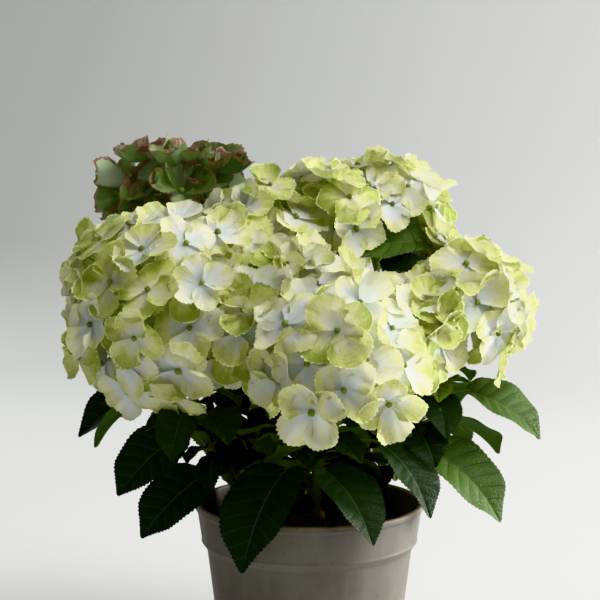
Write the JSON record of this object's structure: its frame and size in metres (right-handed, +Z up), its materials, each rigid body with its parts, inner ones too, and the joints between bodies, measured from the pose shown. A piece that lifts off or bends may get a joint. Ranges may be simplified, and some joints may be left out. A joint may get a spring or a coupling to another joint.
{
  "type": "potted mophead hydrangea",
  "caption": "Mophead hydrangea shrub in a plastic nursery pot, with round heads of white and lime florets, a faded old head and broad serrated leaves.",
  "frame": {"origin": "centre of the flat underside of the pot", "axes": "+Z up along the pot's axis, -Y towards the front of the plant, +X to its right seen from the front"},
  "size_m": [0.3607, 0.3069, 0.428],
  "materials": {
    "plastic": "weathered grey-brown moulded plastic",
    "soil": "damp dark potting soil",
    "bark": "smooth woody stem",
    "cane": "green young cane",
    "foliage": "glossy dark green leaf",
    "blossom": "soft matte petal, white to lime",
    "old_blossom": "leathery old petal, green to wine red"
  },
  "bodies": {
    "root": {"pot": "plastic", "potting_soil": "soil", "stem_left": "bark", "stem_centre": "bark", "stem_right": "bark", "cane_left": "cane", "cane_front": "cane", "cane_right": "cane", "cane_top": "cane", "cane_middle": "cane", "cane_antique": "cane", "leafy_shoot_left": "foliage", "leafy_shoot_front": "foliage", "leafy_shoot_right": "foliage", "leafy_shoot_top": "foliage", "leafy_shoot_middle": "foliage", "leafy_shoot_antique": "foliage", "bloom_left": "blossom", "bloom_front": "blossom", "bloom_right": "blossom", "bloom_top": "blossom", "bloom_middle": "blossom", "bloom_antique": "old_blossom"}
  },
  "joints": []
}
